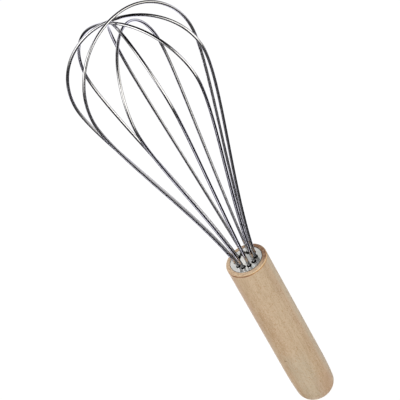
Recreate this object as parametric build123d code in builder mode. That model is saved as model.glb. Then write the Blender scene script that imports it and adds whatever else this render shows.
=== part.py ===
from build123d import *
import os
from math import cos, radians, sin

# Balloon whisk: turned wooden handle, steel face plate, five bright wire loops
# and the hard filling that holds their ends in the handle's blind bore.
# Millimetres. +Z runs along the whisk, from the butt towards the crown of wires.
# The origin is the middle of the handle's parallel grip, on its axis.

# ---------------------------------------------------------------- dimensions
HANDLE_R = 12.0  # parallel grip: a 24 mm dowel
GRIP_LENGTH = 90.6  # length of the truly parallel stretch
RIM_ROUND = 0.8  # round-over on the outer edge of the mouth
SCORE_WIDTH = 0.3  # fine scored line that parts the rounded rim from the grip
SCORE_DEPTH = 0.2
# plane of the rim and of the plate's face
MOUTH_Z = GRIP_LENGTH / 2 + SCORE_WIDTH + RIM_ROUND
TAPER_R = 240.0  # long easing arc before the butt
TAPER_TURN = 4.3  # degrees
CORNER_R = 7.4  # the butt's rounded corner
CORNER_TURN = 57.7  # degrees

PLATE_R = 9.4
PLATE_THICK = 1.2
PLATE_EDGE = 0.3  # round on the plate's visible edge
HOLE_R = 1.4  # wire holes
HOLE_RING_R = 5.6  # ring on which the holes sit
HOLE_ANGLE = 17.4  # direction of hole 0, degrees from +X
HOLE_COUNT = 10

SEAT_R = PLATE_R + 0.03  # seat in the mouth, with a little clearance for the plate
SEAT_DEPTH = PLATE_THICK + 0.02
SEAT_ROUND = 0.2  # sanded inner edge of the rim, around the plate
BORE_R = 8.2  # blind bore for the wire ends
BORE_DEPTH = 46.0  # mouth to the end of the bore's parallel wall
DRILL_POINT = 2.4  # height of the cone left by the drill

FILL_TOP = 3.0  # the filling stops this far below the mouth
FILL_CLEAR = 0.03  # joint line between the filling and its neighbours
CHANNEL_LEAD = 1.0  # a wire channel's cut starts this far above the filling
CHANNEL_OVERRUN = 0.3  # and runs this far past the wire's tip

WIRE_R = 0.85
SHANK_DEPTH = 30.0  # mouth to where the straight shank begins to splay
TIP_DEPTH = 40.0  # mouth to the wire tips
TIP_SPLAY = 1.2  # how far each tip leans outward
SPLAY_REACH = 0.45  # Bezier handles of the splay, as a share of its height
SPLAY_EASE = 0.5  # share of the lean reached at the tip's Bezier handle
BEND = 1.2  # half length of the small bend at the plate
BEND_REACH = 0.7 * BEND  # Bezier handles of that bend

# A leg runs from its hole to its shoulder, the loop's widest point, then over
# to the crown, where the loop crosses the whisk's axis.
BASE_SLOPE = 0.125  # outward lean where the wire leaves the plate
BASE_REACH = 0.354  # share of the shoulder's height ruled by that lean
SHOULDER_REACH = 0.170  # the same below the shoulder
QUARTER = 0.5523  # Bezier handle of a quarter ellipse

# One entry per loop, of three rows. Rows 1 and 2 are its ends: hole number,
# degrees the shoulder is swung from its hole, shoulder radius, shoulder height
# above the mouth. Row 3 is the crown: (x, y, height above the mouth), slope of
# the wire there, and the fullness of the curve on the shoulder's side and on
# the crown's side.
LOOPS = [
    (
        (5, 1.3, 35.2, 140.5),
        (0, 1.9, 35.9, 145.4),
        ((0.46, -0.56, 183.61), 0.055, 0.948, 1.036),
    ),
    (
        (4, 5.0, 39.0, 139.8),
        (9, 0.6, 34.9, 146.9),
        ((0.24, 0.61, 181.85), 0.003, 0.961, 1.058),
    ),
    (
        (3, 8.3, 36.9, 140.2),
        (8, 4.4, 35.6, 144.1),
        ((0.17, 0.19, 179.96), -0.043, 0.950, 1.046),
    ),
    (
        (7, 8.1, 35.7, 141.1),
        (2, 7.8, 34.7, 129.4),
        ((-0.23, 0.74, 178.08), -0.112, 0.914, 1.011),
    ),
    (
        (6, 7.2, 34.3, 135.7),
        (1, 3.5, 30.2, 137.5),
        ((0.36, -0.44, 173.03), -0.048, 0.868, 1.057),
    ),
]


# ---------------------------------------------------------- wire centre lines
def ring_point(number, swing, radius, height):
    """Point at a height above the mouth, swung by degrees from a hole's direction."""
    angle = radians(HOLE_ANGLE + number * 360 / HOLE_COUNT + swing)
    return Vector(radius * cos(angle), radius * sin(angle), MOUTH_Z + height)


def hole_point(number, height=0.0):
    """Point on a hole's axis."""
    return ring_point(number, 0, HOLE_RING_R, height)


def flat_direction(vector):
    """Unit vector of the horizontal part of a vector."""
    return Vector(vector.X, vector.Y, 0).normalized()


def splay_points(number):
    """Bezier of a wire tip leaning outward, from the shank down to the tip."""
    outward = flat_direction(hole_point(number))
    top = hole_point(number, -SHANK_DEPTH)
    below_top = hole_point(number, -TIP_DEPTH)
    drop = Vector(0, 0, (SHANK_DEPTH - TIP_DEPTH) * SPLAY_REACH)
    return [
        top,
        top + drop,
        below_top + outward * TIP_SPLAY * SPLAY_EASE - drop,
        below_top + outward * TIP_SPLAY,
    ]


def leg_points(end):
    """Bezier of a leg from the centre of its hole to its shoulder."""
    hole = hole_point(end[0])
    shoulder = ring_point(*end)
    lean = flat_direction(shoulder - hole)
    rise = shoulder.Z - hole.Z
    return [
        hole,
        hole + (lean * BASE_SLOPE + Vector(0, 0, 1)) * (BASE_REACH * rise),
        shoulder - Vector(0, 0, SHOULDER_REACH * rise),
        shoulder,
    ]


def crown_points(end, crown, along):
    """Bezier of the quarter from a shoulder to the crown point."""
    (x, y, height), slope, shoulder_fullness, crown_fullness = crown
    shoulder = ring_point(*end)
    top = Vector(x, y, MOUTH_Z + height)
    # signed: negative on the half that lies against the direction of along
    reach = (shoulder - top).dot(along)
    return [
        shoulder,
        shoulder + Vector(0, 0, QUARTER * shoulder_fullness * (top.Z - shoulder.Z)),
        top + (along + Vector(0, 0, slope)) * (QUARTER * crown_fullness * reach),
        top,
    ]


def bezier_beyond(points, share):
    """Control points of the part of a cubic Bezier beyond a parameter."""
    first, middle, last = (
        points[i] + (points[i + 1] - points[i]) * share for i in range(3)
    )
    before = first + (middle - first) * share
    after = middle + (last - middle) * share
    return [before + (after - before) * share, after, last, points[3]]


def parameter_at(points, z):
    """Parameter at which a rising cubic Bezier reaches z, sought in its first half."""
    low, high = 0.0, 0.5
    for _ in range(40):
        middle = (low + high) / 2
        if bezier_beyond(points, middle)[0].Z < z:
            low = middle
        else:
            high = middle
    return low


def half_loop(end, crown, along):
    """Bezier and line points of one half of a loop, from its tip to the crown."""
    number = end[0]
    leg = leg_points(end)
    # the bend replaces the foot of the leg
    leg = bezier_beyond(leg, parameter_at(leg, MOUTH_Z + BEND))
    lean = (leg[1] - leg[0]).normalized()
    below_plate = hole_point(number, -BEND)
    bend = [
        below_plate,
        below_plate + Vector(0, 0, BEND_REACH),
        leg[0] - lean * BEND_REACH,
        leg[0],
    ]
    return [
        splay_points(number)[::-1],
        [hole_point(number, -SHANK_DEPTH), below_plate],
        bend,
        leg,
        crown_points(end, crown, along),
    ]


def loop_pieces(first_end, second_end, crown):
    """Points of a whole loop: tip, shank, leg, crown, leg, shank, tip."""
    along = flat_direction(ring_point(*second_end) - ring_point(*first_end))
    rising = half_loop(first_end, crown, along)
    falling = [points[::-1] for points in half_loop(second_end, crown, along)[::-1]]
    return rising + falling


# -------------------------------------------------------------------- pieces
def make_handle():
    with BuildPart() as handle:
        with BuildSketch(Plane.XZ):
            with BuildLine():
                top = Line((0, MOUTH_Z), (HANDLE_R - RIM_ROUND, MOUTH_Z))
                rim = JernArc(top @ 1, (1, 0), RIM_ROUND, -90)
                score = Polyline(
                    rim @ 1,
                    (HANDLE_R - SCORE_DEPTH, GRIP_LENGTH / 2 + SCORE_WIDTH / 2),
                    (HANDLE_R, GRIP_LENGTH / 2),
                )
                grip = Line(score @ 1, (HANDLE_R, -GRIP_LENGTH / 2))
                taper = JernArc(grip @ 1, (0, -1), TAPER_R, -TAPER_TURN)
                corner = JernArc(taper @ 1, taper % 1, CORNER_R, -CORNER_TURN)
                # the butt's arc meets the axis squarely, so its radius follows
                turned = TAPER_TURN + CORNER_TURN
                butt_radius = (corner @ 1).X / cos(radians(turned))
                butt = JernArc(corner @ 1, corner % 1, butt_radius, turned - 90)
                Line(butt @ 1, top @ 0)
            make_face()
        revolve(axis=Axis.Z)
        # seat for the face plate
        with BuildSketch(Plane.XY.offset(MOUTH_Z)):
            Circle(SEAT_R)
        extrude(amount=-SEAT_DEPTH, mode=Mode.SUBTRACT)
        circles = handle.edges().filter_by(GeomType.CIRCLE)
        seat_edges = circles.filter_by(lambda edge: abs(edge.radius - SEAT_R) < 0.001)
        fillet(seat_edges.sort_by(Axis.Z)[-1], SEAT_ROUND)
        # blind bore with its drill point
        with BuildSketch(Plane.XZ):
            Polygon(
                (0, MOUTH_Z),
                (BORE_R, MOUTH_Z),
                (BORE_R, MOUTH_Z - BORE_DEPTH),
                (0, MOUTH_Z - BORE_DEPTH - DRILL_POINT),
                align=None,
            )
        revolve(axis=Axis.Z, mode=Mode.SUBTRACT)
    return handle.part


def make_face_plate():
    with BuildPart() as face_plate:
        with BuildSketch(Plane.XY.offset(MOUTH_Z - PLATE_THICK)):
            Circle(PLATE_R)
        extrude(amount=PLATE_THICK)
        fillet(face_plate.faces().sort_by(Axis.Z)[-1].edges(), PLATE_EDGE)
        with Locations(Plane.XY.offset(MOUTH_Z)):
            with PolarLocations(HOLE_RING_R, HOLE_COUNT, start_angle=HOLE_ANGLE):
                Hole(HOLE_R, PLATE_THICK)
    return face_plate.part


def make_wire_loop(loop):
    with BuildPart() as wire_loop:
        with BuildLine() as path:
            for points in loop_pieces(*loop):
                if len(points) == 2:
                    Line(*points)
                else:
                    Bezier(*points)
        with BuildSketch(Plane(origin=path.wire() @ 0, z_dir=path.wire() % 0)):
            Circle(WIRE_R)
        sweep(path=path.wire())
    return wire_loop.part


def make_bore_filling():
    with BuildPart() as bore_filling:
        with BuildSketch(Plane.XY.offset(MOUTH_Z - FILL_TOP)):
            Circle(BORE_R - FILL_CLEAR)
        extrude(amount=FILL_TOP - BORE_DEPTH)
        # a channel for each wire end
        for number in range(HOLE_COUNT):
            start = hole_point(number, -FILL_TOP + CHANNEL_LEAD)
            splay = splay_points(number)
            tip = splay[3]
            with BuildLine() as channel:
                Line(start, splay[0])
                Bezier(*splay)
                Line(tip, tip + (tip - splay[2]).normalized() * CHANNEL_OVERRUN)
            with BuildSketch(Plane(start)):
                Circle(WIRE_R + FILL_CLEAR)
            sweep(path=channel.wire(), mode=Mode.SUBTRACT)
    return bore_filling.part


# -------------------------------------------------------------------- export
pieces = {"handle": make_handle(), "face_plate": make_face_plate()}
for number, loop in enumerate(LOOPS, start=1):
    pieces[f"wire_loop_{number}"] = make_wire_loop(loop)
pieces["bore_filling"] = make_bore_filling()

os.makedirs("parts", exist_ok=True)
for name, piece in pieces.items():
    piece.label = name
    export_step(piece, f"parts/{name}.step")
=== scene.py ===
"""A wooden handle with a round steel face plate and five wire loops.

The handle stands upright on the Z axis, its butt down and its mouth up. The plate
lies at the mouth and has a ring of ten holes, which the wires enter. The front is -Y.
"""
import math

import bpy
from mathutils import Matrix, Vector


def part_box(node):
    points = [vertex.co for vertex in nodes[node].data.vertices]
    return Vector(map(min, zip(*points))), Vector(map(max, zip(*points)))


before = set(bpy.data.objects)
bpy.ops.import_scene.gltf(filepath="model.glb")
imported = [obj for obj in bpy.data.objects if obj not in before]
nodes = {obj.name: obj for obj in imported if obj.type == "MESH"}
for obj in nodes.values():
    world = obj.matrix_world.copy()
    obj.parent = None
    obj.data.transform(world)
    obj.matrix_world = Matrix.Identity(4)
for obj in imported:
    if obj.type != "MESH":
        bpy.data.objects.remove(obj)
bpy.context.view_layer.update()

scene = bpy.context.scene

# places in metres: those from part_box come from the imported model, the others are given
plate_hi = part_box("face_plate")[1]
handle_lo, handle_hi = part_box("handle")
MOUTH = handle_hi.z
BUTT = handle_lo.z
PLATE_R = plate_hi.x
PLATE_TOP = plate_hi.z
SCORE = MOUTH - 0.00095  # height of the scored line under the rounded rim
SEAT_R = 0.0094  # the round seat in the mouth
BORE_FLOOR = MOUTH - 0.0499
HOLE_RING = 0.0056  # radius of the ring of holes
HOLE_R = 0.0014
HOLE_ANGLE = math.radians(17.4)  # place of the first hole, from +X
HOLE_STEP = math.tau / 10

GRAIN_LEAN = (0.018, 0.012, 0.6)  # turn of the grain against the handle, radians

# the camera's own axes and place, in the object's frame
RIGHT = Vector((0.8701275304, -0.3166189712, -0.3776645440))
UP = Vector((0.4928266235, 0.5590178582, 0.6667990352))
BACK = Vector((0.0, -0.7663233398, 0.6424550870))
EYE = Vector((-0.0058837565, -0.8941695236, 0.8492468057))


# ------------------------------------------------------------ node helpers
class Value:
    """A node's output; each operator or method adds the nodes that work on it."""

    def __init__(self, tree, socket):
        self.tree = tree
        self.socket = socket

    def math(self, operation, second=0.0, third=None):
        return self.tree.math(operation, self, second, third)

    def __add__(self, other):
        return self.math("ADD", other)

    def __sub__(self, other):
        return self.math("SUBTRACT", other)

    def __rsub__(self, other):
        return self.tree.math("SUBTRACT", other, self)

    def __mul__(self, other):
        return self.math("MULTIPLY", other)

    def __truediv__(self, other):
        return self.math("DIVIDE", other)

    def __abs__(self):
        return self.math("ABSOLUTE")

    def max(self, other):
        return self.math("MAXIMUM", other)

    def scaled(self, by, plus):
        return self.math("MULTIPLY_ADD", by, plus)

    def swing(self, by, around):
        """Vary a value around its mean, taking 0.5 as this value's own mean."""
        return (self - 0.5).scaled(by, plus=around)

    def step(self, start, end, before=0.0, after=1.0):
        """Smooth step from before to after, as this value goes from start to end."""
        return self.tree.value(
            "ShaderNodeMapRange",
            {"Value": self, "From Min": start, "From Max": end, "To Min": before, "To Max": after},
            interpolation_type="SMOOTHSTEP",
        )

    def fall(self, start, end):
        return self.step(start, end, before=1.0, after=0.0)

    def near(self, centre, half, soft):
        """1 where this value lies within half of centre, fading over soft."""
        return abs(self - centre).fall(half, half + soft)

    def lerp(self, zero, one):
        """Number that goes from zero to one of the two given, as this goes 0 to 1."""
        return self.tree.value("ShaderNodeMix", {0: self, 2: zero, 3: one}, data_type="FLOAT")

    def tint(self, amount, color, blend="MIX"):
        return self.tree.mix(amount, self, color, blend)

    def dot(self, axis):
        return self.tree.vector_math("DOT_PRODUCT", self, axis, output="Value")

    def bump(self, distance, strength, normal=None):
        inputs = {"Height": self, "Distance": distance, "Strength": strength}
        if normal is not None:
            inputs["Normal"] = normal
        return self.tree.value("ShaderNodeBump", inputs)


class Tree:
    """A short way to write a node tree."""

    def __init__(self, node_tree):
        self.node_tree = node_tree
        self.node_tree.nodes.clear()
        self.place = None

    def add(self, kind, inputs=None, **props):
        node = self.node_tree.nodes.new(kind)
        for key, setting in props.items():
            setattr(node, key, setting)
        for key, given in (inputs or {}).items():
            if isinstance(given, Value):
                self.node_tree.links.new(given.socket, node.inputs[key])
            else:
                node.inputs[key].default_value = given
        return node

    def values(self, kind, outputs, inputs=None, **props):
        node = self.add(kind, inputs, **props)
        return [Value(self, node.outputs[key]) for key in outputs]

    def value(self, kind, inputs=None, output=0, **props):
        return self.values(kind, [output], inputs, **props)[0]

    def math(self, operation, first, second=0.0, third=None):
        inputs = {0: first, 1: second}
        if third is not None:
            inputs[2] = third
        return self.value("ShaderNodeMath", inputs, operation=operation)

    def vector_math(self, operation, first, second=(0.0, 0.0, 0.0), output=0):
        inputs = {0: first, 1: second}
        return self.value("ShaderNodeVectorMath", inputs, output, operation=operation)

    def mix(self, amount, color, other, blend="MIX"):
        inputs = {0: amount, 6: color, 7: other}
        return self.value("ShaderNodeMix", inputs, 2, data_type="RGBA", blend_type=blend)

    def ramp(self, amount, stops):
        node = self.add("ShaderNodeValToRGB", {0: amount})
        elements = node.color_ramp.elements
        while len(elements) < len(stops):
            elements.new(0.5)
        for element, (position, color) in zip(elements, stops):
            element.position = position
            element.color = color
        return Value(self, node.outputs[0])

    def coords(self, across=1, along=None, shift=(0, 0, 0), turn=(0, 0, 0)):
        """Object coordinates in metres, turned, moved, then scaled across and along Z."""
        if self.place is None:
            self.place = self.value("ShaderNodeTexCoord", output="Object")
        inputs = {"Vector": self.place, "Location": shift, "Rotation": turn}
        mapped = self.value("ShaderNodeMapping", inputs)
        scale = (across, across, across if along is None else along)
        return self.vector_math("MULTIPLY", mapped, scale)

    def noise_at(self, vector, detail=2.0, rough=0.5):
        inputs = {"Vector": vector, "Scale": 1.0, "Detail": detail, "Roughness": rough}
        return self.value("ShaderNodeTexNoise", inputs)

    def noise(self, detail=2.0, rough=0.5, **coords):
        return self.noise_at(self.coords(**coords), detail, rough)

    def cells(self, edge, pick, channel=0, **coords):
        """Spots that fade over the edge distances, kept where the cell's random
        colour channel passes the pick range."""
        distance, color = self.values(
            "ShaderNodeTexVoronoi",
            ("Distance", "Color"),
            {"Vector": self.coords(**coords), "Scale": 1.0, "Randomness": 1.0},
        )
        return distance.fall(*edge) * self.split(color)[channel].step(*pick)

    def split(self, vector):
        return self.values("ShaderNodeSeparateXYZ", range(3), {0: vector})


def hypot(first, second):
    return (first * first + second * second).math("SQRT")


def srgb(*channels):
    """sRGB 0-255 to linear, with alpha."""

    def linear(level):
        level /= 255
        return level / 12.92 if level <= 0.04045 else ((level + 0.055) / 1.055) ** 2.4

    return (*map(linear, channels), 1.0)


def dress(obj, name, shade, *args):
    """Give obj a new material whose surface is the shader made by shade."""
    mat = bpy.data.materials.new(name)
    mat.use_nodes = True
    tree = Tree(mat.node_tree)
    tree.add("ShaderNodeOutputMaterial", {0: shade(tree, *args)})
    obj.data.materials.clear()
    obj.data.materials.append(mat)


# -------------------------------------------------------------------- wood
def wood_tone(tree, x, y, z, turn, endgrain, fine, fibre, cloud):
    """Darkness of the timber, with painted shade towards the butt and on the -X side of the front:
    0 light, 1 dark.
    """
    broad = tree.noise(
        across=210, along=9, shift=(0.013, 0.007, 0.02), turn=GRAIN_LEAN, rough=0.45
    )
    # growth rings around a pith that lies outside the dowel
    pith_x, pith_y, ring_width = 0.031, 0.046, 0.0021
    wobble = tree.noise(across=120, along=14, shift=(0.4, 0.0, 0.1))
    pith = hypot(x - pith_x, y - pith_y)
    pith = pith + wobble * 0.0034
    pith = pith + z * 0.017
    ring = (pith * (1 / ring_width)).math("FRACT")
    ring_levels = ((0.0, 0.15), (0.35, 0.35), (0.8, 0.75), (0.93, 1.0), (1.0, 0.15))
    ring = tree.ramp(ring, [(place, (level,) * 3 + (1.0,)) for place, level in ring_levels])

    tone = broad.swing(by=0.36, around=0.42)
    tone = fine.swing(by=1.1, around=tone)
    tone = fibre.swing(by=0.55, around=tone)
    tone = ring.swing(by=endgrain.lerp(0.14, 0.5), around=tone)
    tone = cloud.swing(by=0.35, around=tone)
    # painted shade: darker towards the butt
    tone = (0.040 - z).scaled(by=1.2, plus=tone)
    tone = tone + z.step(start=-0.064, end=-0.046, before=0.16, after=0.0)
    # painted shade: a little darker on the -X side of the front
    return turn.near(-0.78, half=0.14, soft=0.30).scaled(by=0.12, plus=tone)


def timber_patches(tree, color, z, turn, cloud):
    """Cooler and pinker patches of the timber."""
    cool = turn.near(-0.30, half=0.35, soft=0.40) * z.near(-0.047, half=0.014, soft=0.016)
    cool = (cool * 0.85).max(turn.near(1.30, half=0.20, soft=0.30))
    cool = cool * cloud.step(start=0.28, end=0.60, before=0.55)
    color = color.tint(cool * 0.36, srgb(204, 199, 178))
    pink = turn.near(0.50, half=0.40, soft=0.30) * z.fall(start=-0.058, end=-0.042)
    pink_above = turn.near(-1.35, half=0.20, soft=0.30) * z.step(start=-0.02, end=0.02)
    return color.tint(pink.max(pink_above) * 0.26, srgb(203, 164, 140))


def brown_band(tree, color, z, turn):
    """A browner, streaky band down one side, with a sharp growth edge beside it."""
    band = turn.near(0.71, half=0.09, soft=0.16)
    band = band * z.step(start=-0.062, end=-0.030)
    band = band * z.step(start=0.028, end=0.038, before=1.0, after=0.2)
    streak = tree.noise(
        across=1100, along=42, shift=(0.3, 0.2, 0.05), turn=GRAIN_LEAN, detail=3.0, rough=0.6
    )
    streaky = band * streak.step(start=0.36, end=0.66)
    color = color.tint(streaky * 0.16, srgb(182, 140, 104))
    growth = turn.step(start=0.476, end=0.492) * turn.fall(start=0.55, end=0.95)
    growth = growth * z.step(start=0.012, end=0.028)
    return color.tint(growth * 0.17, srgb(168, 136, 106)), band, streaky


def wood_flecks(tree, color, z, turn, endgrain, band, streaky):
    # short dark ray flecks, long along the grain
    fleck = tree.cells(
        edge=(0.10, 0.27), pick=(0.45, 0.8),
        across=1150, along=210, shift=(0.05, 0.02, 0.01), turn=GRAIN_LEAN,
    )
    fleck = fleck * endgrain.lerp(streaky.scaled(by=0.4, plus=0.36), 0.2)
    color = color.tint(fleck, srgb(172, 130, 94))
    # broad ray ribbons crossing the band
    ribbon = tree.cells(
        edge=(0.16, 0.36), pick=(0.42, 0.75), channel=1,
        across=760, along=1080, shift=(0.02, 0.09, 0.013),
    )
    ribbon = ribbon * band.scaled(by=0.80, plus=0.08)
    ribbon = ribbon * endgrain.lerp(1.0, 0.0)
    color = color.tint(ribbon, srgb(158, 110, 70))
    # small brown specks, thickest on the -X side of the front
    thick = turn.near(-0.72, half=0.22, soft=0.30) * z.near(0.000, half=0.014, soft=0.020)
    speck = tree.noise(across=1750, along=1300, shift=(0.09, 0.21, 0.04), rough=0.6)
    speck = thick.scaled(by=0.050, plus=speck).step(start=0.54, end=0.68)
    color = color.tint(speck * 0.52, srgb(174, 118, 64))
    # pale flecks where the rays catch the light
    pale = tree.cells(
        edge=(0.08, 0.25), pick=(0.6, 0.9), channel=1,
        across=1300, along=150, shift=(0.11, 0.07, 0.03), turn=GRAIN_LEAN,
    )
    color = color.tint(pale * 0.42, srgb(226, 211, 192))
    # one short dark scratch across the grain
    scratch = turn.near(-0.815, half=0.045, soft=0.055)
    scratch = scratch * z.near(-0.02868, half=0.00016, soft=0.00026)
    return color.tint(scratch * 0.8, srgb(122, 82, 50)), fleck


def end_grain(tree, color, x, y, z, endgrain):
    """Open pores and darker late wood on the end grain, with painted shade on the +X side of the
    mouth.
    """
    pore = tree.cells(edge=(0.12, 0.34), pick=(0.35, 0.7), across=3300, along=600)
    pore = pore * endgrain
    mottle = tree.noise(across=620, along=300, shift=(0.02, 0.05, 0.0), detail=3.0, rough=0.65)
    end_stops = [
        (0.30, srgb(242, 214, 182)),
        (0.5, srgb(230, 199, 165)),
        (0.68, srgb(202, 165, 129)),
    ]
    end_color = tree.ramp(mottle, end_stops)
    mouth_side = z.step(start=0.0, end=0.01)
    color = color.tint(endgrain * mouth_side.lerp(0.25, 0.75), end_color)
    color = color.tint(pore * 0.45, srgb(134, 96, 66))
    # painted shade: the mouth is painted darker and browner towards +X
    painted_shade_side = (x * 0.966 + y * 0.259).step(start=0.0018, end=0.0085)
    painted_shade_side = painted_shade_side * z.step(start=MOUTH - 0.0013, end=MOUTH - 0.0003)
    painted_shade_side = painted_shade_side * mottle.step(start=0.30, end=0.62, before=0.50)
    return color.tint(painted_shade_side * 0.86, srgb(146, 96, 66)), pore


def mouth_marks(tree, color, x, y, z, radius, cloud):
    # scored line under the rim, painted darker: partly a stain where the oil gathers, browner
    # towards -X and -Y, and partly painted shade in the groove
    blotch = tree.noise(across=330, shift=(0.07, 0.03, 0.0), rough=0.6)
    stained = (x * -0.77 + y * -0.64).step(start=0.0060, end=0.0112)
    line_color = tree.mix(stained, srgb(202, 142, 72), srgb(138, 78, 38))
    line = z.near(SCORE, half=stained.lerp(0.00024, 0.00040), soft=0.00026)
    line = line * blotch.step(start=0.30, end=0.58, before=0.55)
    line = line * stained.lerp(0.88, 0.97)
    color = color.tint(line, line_color)
    # the rounded rim is painted paler: a painted highlight, and a little wear where it is rubbed
    rim_highlight_and_wear = z.near(MOUTH - 0.00050, half=0.00018, soft=0.00022)
    rim_highlight_and_wear = rim_highlight_and_wear * radius.step(start=0.0108, end=0.0116)
    rim_highlight_and_wear = rim_highlight_and_wear * cloud.step(start=0.35, end=0.6, before=0.5)
    rim_highlight_and_wear = rim_highlight_and_wear * stained.lerp(0.85, 0.35)
    color = color.tint(rim_highlight_and_wear, srgb(244, 213, 168))
    # painted shade in the seat's edge, where the plate meets the wood
    seat = radius.near(SEAT_R + 0.00003, half=0.0001, soft=0.00028)
    seat = seat * z.step(start=MOUTH - 0.0006, end=MOUTH - 0.0002)
    color = color.tint(seat * 0.55, srgb(92, 66, 48))
    # painted shade: the inside of the seat and bore is painted dark
    inside = radius.fall(start=SEAT_R, end=SEAT_R + 0.00005)
    inside = inside * z.step(start=BORE_FLOOR, end=BORE_FLOOR + 0.0001)
    return color.tint(inside, srgb(84, 60, 42))


def wood(tree):
    x, y, z = tree.split(tree.coords())
    normal = tree.value("ShaderNodeNewGeometry", output="Normal")
    endgrain = abs(tree.split(normal)[2]).step(start=0.62, end=0.93)
    radius = hypot(x, y)
    # angle in radians: 0 at the front (-Y), positive towards +X
    turn = x.math("ARCTAN2", y * -1.0)
    fine = tree.noise(across=1300, along=170, turn=GRAIN_LEAN, detail=3.0, rough=0.65)
    fibre = tree.noise(across=3400, along=420, turn=GRAIN_LEAN, rough=0.7)
    cloud = tree.noise(across=95, along=48, shift=(0.2, 0.1, 0.3))

    tone = wood_tone(tree, x, y, z, turn, endgrain, fine, fibre, cloud)
    tone_stops = [
        (0.0, srgb(224, 201, 171)),
        (0.45, srgb(211, 185, 153)),
        (0.75, srgb(197, 169, 136)),
        (1.0, srgb(177, 146, 111)),
    ]
    color = tree.ramp(tone, tone_stops)
    color = timber_patches(tree, color, z, turn, cloud)
    color, band, streaky = brown_band(tree, color, z, turn)
    color, fleck = wood_flecks(tree, color, z, turn, endgrain, band, streaky)
    color, pore = end_grain(tree, color, x, y, z, endgrain)
    color = mouth_marks(tree, color, x, y, z, radius, cloud)

    # a light handling polish around the grip
    worn = tree.noise(across=60, along=34, shift=(0.5, 0.1, 0.2), detail=3.0, rough=0.55)
    rough = worn.swing(by=0.28, around=0.50)
    rough = fine.swing(by=0.22, around=rough)
    rough = endgrain.lerp(rough, 0.56)

    relief = fine.scaled(by=-0.55, plus=fibre * -0.3)
    relief = fleck.scaled(by=-0.5, plus=relief)
    relief = pore.scaled(by=-0.8, plus=relief)
    return tree.value(
        "ShaderNodeBsdfPrincipled",
        {
            "Base Color": color,
            "Roughness": rough,
            "IOR": 1.45,
            "Specular IOR Level": 0.42,
            "Normal": relief.bump(distance=0.00006, strength=0.6),
            "Coat Weight": 0.06,
            "Coat Roughness": 0.32,
        },
    )


# ------------------------------------------------------------------- steel
def metal(tree, color, rough, normal, metallic=1.0):
    inputs = {"Base Color": color, "Metallic": metallic, "Roughness": rough, "Normal": normal}
    return tree.value("ShaderNodeBsdfPrincipled", inputs)


def plate_steel(tree):
    x, y, z = tree.split(tree.coords())
    facing_up = tree.split(tree.value("ShaderNodeNewGeometry", output="True Normal"))[2]
    radius = hypot(x, y)
    # distance to the centre of the nearest hole; outward is its part along the radius
    angle = y.math("ARCTAN2", x) - (HOLE_ANGLE - HOLE_STEP / 2)
    angle = angle.math("FLOORED_MODULO", HOLE_STEP) - HOLE_STEP / 2
    outward = radius * angle.math("COSINE") - HOLE_RING
    hole = hypot(outward, radius * angle.math("SINE"))

    smear = tree.noise(across=260, detail=3.0, rough=0.55)
    spots = tree.noise(across=1400, rough=0.6)
    turning = tree.value("ShaderNodeCombineXYZ", {0: radius * 9000.0, 1: smear * 1.5})
    turned = tree.noise_at(turning, detail=3.0, rough=0.7)
    drift = tree.noise(across=150, shift=(0.7, 0.2, 0.0))
    drift = drift.step(start=0.38, end=0.62)
    base = tree.mix(drift, (0.64, 0.65, 0.63, 1), (0.83, 0.82, 0.80, 1))
    base = base.tint(smear.step(start=0.45, end=0.7) * 0.45, (0.74, 0.74, 0.76, 1))
    base = base.tint(spots.step(start=0.56, end=0.75) * 0.28, (0.42, 0.41, 0.40, 1))
    # inside the ring, painted reflections: a darker patch on the +X side and a brighter cream one
    # on the -X side
    across = x * 0.94 - y * 0.34
    painted_dark_reflection = across.step(start=0.0001, end=0.0010) * radius.fall(start=0.0040, end=0.0052)
    base = base.tint(painted_dark_reflection * 0.58, (0.42, 0.43, 0.44, 1))
    painted_bright_reflection = across.fall(start=-0.0010, end=0.0001) * radius.fall(start=0.0040, end=0.0052)
    base = base.tint(painted_bright_reflection * 0.75, (0.97, 0.955, 0.915, 1))
    # painted shade round the holes, heavier on the +Y half of the ring
    far = y.step(start=0.0002, end=0.0024)
    reach = outward.step(
        start=-0.0006, end=0.0005, before=HOLE_R + 0.00034, after=HOLE_R + 0.00020
    )
    reach = far.scaled(by=0.00026, plus=reach)
    hole_shade = hole.fall(start=far.scaled(by=0.00024, plus=HOLE_R + 0.00004), end=reach)
    weight = outward.step(start=-0.0004, end=0.0006, before=0.85, after=0.20)
    hole_shade = hole_shade * weight.max(far * 0.97)
    base = base.tint(hole_shade, (0.04, 0.037, 0.034, 1))
    # painted shade: the walls of the holes are painted near black
    wall = facing_up.fall(start=0.3, end=0.7)
    wall = wall * hole.fall(start=HOLE_R + 0.0003, end=HOLE_R + 0.0005)
    base = base.tint(wall, (0.06, 0.055, 0.05, 1))
    # painted shade along the plate's outer edge, where it meets the wood
    rim = radius.step(start=PLATE_R - 0.00045, end=PLATE_R - 0.0001)
    base = base.tint(rim * 0.45, (0.30, 0.29, 0.28, 1))

    rough = smear.swing(by=0.16, around=0.13)
    rough = turned.swing(by=0.10, around=rough)
    rough = wall.lerp(rough, 0.6)
    wave = tree.noise(across=140, shift=(0.3, 0.3, 0.1), detail=1.0)
    normal = wave.bump(distance=0.00035, strength=0.5)
    normal = turned.bump(distance=0.000006, strength=0.6, normal=normal)
    polished = metal(tree, base, rough, normal)
    # the fine scratches also scatter some light broadly
    haze = metal(tree, base, 0.6, normal, metallic=0.15)
    return tree.value("ShaderNodeMixShader", {"Fac": 0.32, 1: polished, 2: haze})


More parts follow.
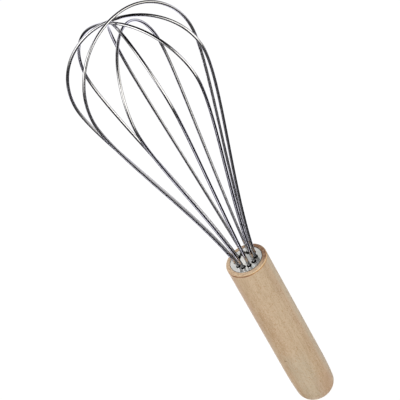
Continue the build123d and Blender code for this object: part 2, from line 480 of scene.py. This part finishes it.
def wire_steel(tree, seed):
    z = tree.split(tree.coords())[2]
    drawn = tree.noise(
        across=5200, along=110, shift=(seed * 0.13, 0.07, seed * 0.031), rough=0.6
    )
    smear = tree.noise(
        across=160, along=90, shift=(seed * 0.3, seed * 0.11, 0.2), detail=3.0, rough=0.6
    )
    spots = tree.noise(across=2300, along=1500, shift=(0.1, seed * 0.2, 0.3))
    base = tree.mix(smear, (0.50, 0.494, 0.508, 1), (0.58, 0.574, 0.588, 1))
    base = base.tint(spots.step(start=0.62, end=0.76) * 0.22, (0.38, 0.36, 0.34, 1))
    # painted shade where the wire enters its hole: its foot is painted near black
    foot_shade = z.fall(start=PLATE_TOP - 0.0002, end=PLATE_TOP + 0.0002)
    base = base.tint(foot_shade * 0.9, (0.05, 0.045, 0.04, 1))
    rough = smear.swing(by=0.08, around=0.075)
    rough = drawn.swing(by=0.05, around=rough)
    rough = foot_shade.scaled(by=0.3, plus=rough)
    return metal(tree, base, rough, drawn.bump(distance=0.000004, strength=0.4))


def resin(tree):
    mottle = tree.noise(across=700, detail=3.0, rough=0.6)
    color = tree.ramp(mottle, [(0.3, srgb(44, 36, 28)), (0.7, srgb(74, 60, 46))])
    rough = mottle.scaled(by=0.25, plus=0.40)
    normal = mottle.bump(distance=0.00012, strength=0.7)
    inputs = {"Base Color": color, "Roughness": rough, "Normal": normal}
    return tree.value("ShaderNodeBsdfPrincipled", inputs)


dress(nodes["handle"], "handle_beech", wood)
dress(nodes["face_plate"], "plate_polished_steel", plate_steel)
for i in range(1, 6):
    dress(nodes[f"wire_loop_{i}"], f"wire_polished_steel_{i}", wire_steel, i)
dress(nodes["bore_filling"], "bore_resin", resin)

# ------------------------------------------------------------------- camera
cam = bpy.data.objects.new("camera", bpy.data.cameras.new("camera"))
scene.collection.objects.link(cam)
cam.matrix_world = Matrix(((*RIGHT, 0), (*UP, 0), (*BACK, 0), (*EYE, 1))).transposed()
cam.data.sensor_width = 36.0
cam.data.lens = 197.226
cam.data.clip_start = 0.01
cam.data.clip_end = 50.0
scene.camera = cam


# -------------------------------------------------------------------- stage
def floor_shader(tree):
    """A matt floor that also glows, most of all to the camera."""
    camera_ray = tree.value("ShaderNodeLightPath", output="Is Camera Ray")
    matte = tree.value("ShaderNodeBsdfDiffuse", {"Color": (0.92, 0.92, 0.92, 1)})
    glow = tree.value("ShaderNodeEmission", {"Color": (1, 1, 1, 1), "Strength": 1.06})
    return tree.value("ShaderNodeMixShader", {0: camera_ray.lerp(0.55, 0.93), 1: matte, 2: glow})


bpy.ops.mesh.primitive_plane_add(size=30, location=(0, 0, BUTT - 0.0002))
floor = bpy.context.object
floor.name = "floor"
dress(floor, "floor", floor_shader)
floor.visible_glossy = False

# soft boxes of the studio, placed by the angle from the camera, in degrees:
# (azimuth, width, elevation, height, colour, strength); azimuth 0 is behind
# the camera, positive to its right
SOFT_BOXES = [
    (-52, 29, -21, 29, (1.005, 1.005, 0.98), 2.25),
    (58, 10, -26, 20, (1.015, 1.008, 0.955), 2.60),
    (69, 41, 9, 22, (1.02, 1.008, 0.945), 1.50),
    (29, 21, -16, 17, (1.005, 1.005, 0.975), 1.85),
    (178, 29, -9, 22, (0.97, 0.972, 1.06), 1.45),
    (-101, 23, 13, 34, (1.0, 1.0, 1.0), 0.61),
    (-150, 60, 30, 18, (0.985, 0.985, 1.03), 1.43),
    (125, 16, 27, 17, (0.96, 0.96, 1.075), 1.35),
    (166, 23, -90, 54, (0.975, 0.968, 1.065), 2.05),
    (-120, 34, 60, 13, (1.0, 1.0, 0.985), 0.93),
    (-138, 11, -25, 9, (0.98, 0.98, 1.05), 1.72),
    (-105, 10, -48, 10, (0.98, 0.985, 1.05), 0.99),
    (128, 9, 1, 10, (0.98, 0.97, 1.06), 1.30),
    (50, 34, -74, 35, (1.0, 1.005, 0.98), 0.26),
]
AMBIENT = 0.035


def studio_light(tree):
    ray = tree.value("ShaderNodeTexCoord", output="Generated")
    ray = tree.vector_math("NORMALIZE", ray)
    side, lift, back = ray.dot(RIGHT), ray.dot(UP), ray.dot(BACK)
    ray_azimuth = side.math("ARCTAN2", back)
    ray_elevation = lift.math("ARCSINE")
    ambient = {0: AMBIENT, 1: AMBIENT * 0.96, 2: AMBIENT * 1.02}
    total = tree.value("ShaderNodeCombineColor", ambient)
    for azimuth, width, elevation, height, color, strength in SOFT_BOXES:
        aside = (ray_azimuth - math.radians(azimuth)).math("WRAP", math.pi, -math.pi)
        aside = aside / math.radians(width)
        above = (ray_elevation - math.radians(elevation)) / math.radians(height)
        spread = aside * aside + above * above
        glow = (spread * spread * -1.0).math("EXPONENT")
        glow_color = tuple(channel * strength for channel in color) + (1.0,)
        total = total.tint(glow, glow_color, "ADD")
    # the boxes have harder edges where the steel mirrors them, and are weaker
    # for the matt wood, most of all on the camera's left
    mirrored = tree.value("ShaderNodeGamma", {0: total, 1: 1.35})
    dim = side.step(start=-0.55, end=0.45, before=0.70, after=0.92)
    dim = tree.value("ShaderNodeCombineColor", {0: dim, 1: dim, 2: dim})
    glossy_ray, camera_ray = tree.values(
        "ShaderNodeLightPath", ("Is Glossy Ray", "Is Camera Ray")
    )
    total = total.tint(1.0, dim, "MULTIPLY").tint(glossy_ray, mirrored)
    total = total.tint(camera_ray, (1.0, 1.0, 1.0, 1.0))
    return tree.value("ShaderNodeBackground", {"Color": total, "Strength": 1.0})


world = bpy.data.worlds.new("studio")
scene.world = world
world.use_nodes = True
world_tree = Tree(world.node_tree)
world_tree.add("ShaderNodeOutputWorld", {0: studio_light(world_tree)})
scene.view_settings.view_transform = "Standard"

# round lamps aimed at the mouth: (name, direction from the mouth, size, watts)
LAMPS = [
    ("top_fill", (-0.25, -0.35, 1.0), 0.7, 5.6),
    ("side_fill", (1.0, 0.05, 0.1), 0.6, 2.2),
    ("rim_fill", (0.05, 0.2, 1.0), 0.5, 2.5),
]
LAMP_DISTANCE = 1.2
for name, toward, size, watts in LAMPS:
    data = bpy.data.lights.new(name, "AREA")
    data.shape = "DISK"
    data.size = size
    data.energy = watts
    lamp = bpy.data.objects.new(name, data)
    scene.collection.objects.link(lamp)
    direction = Vector(toward).normalized()
    lamp.location = Vector((0, 0, MOUTH)) + direction * LAMP_DISTANCE
    lamp.rotation_euler = direction.to_track_quat("Z", "Y").to_euler()
    lamp.visible_glossy = False
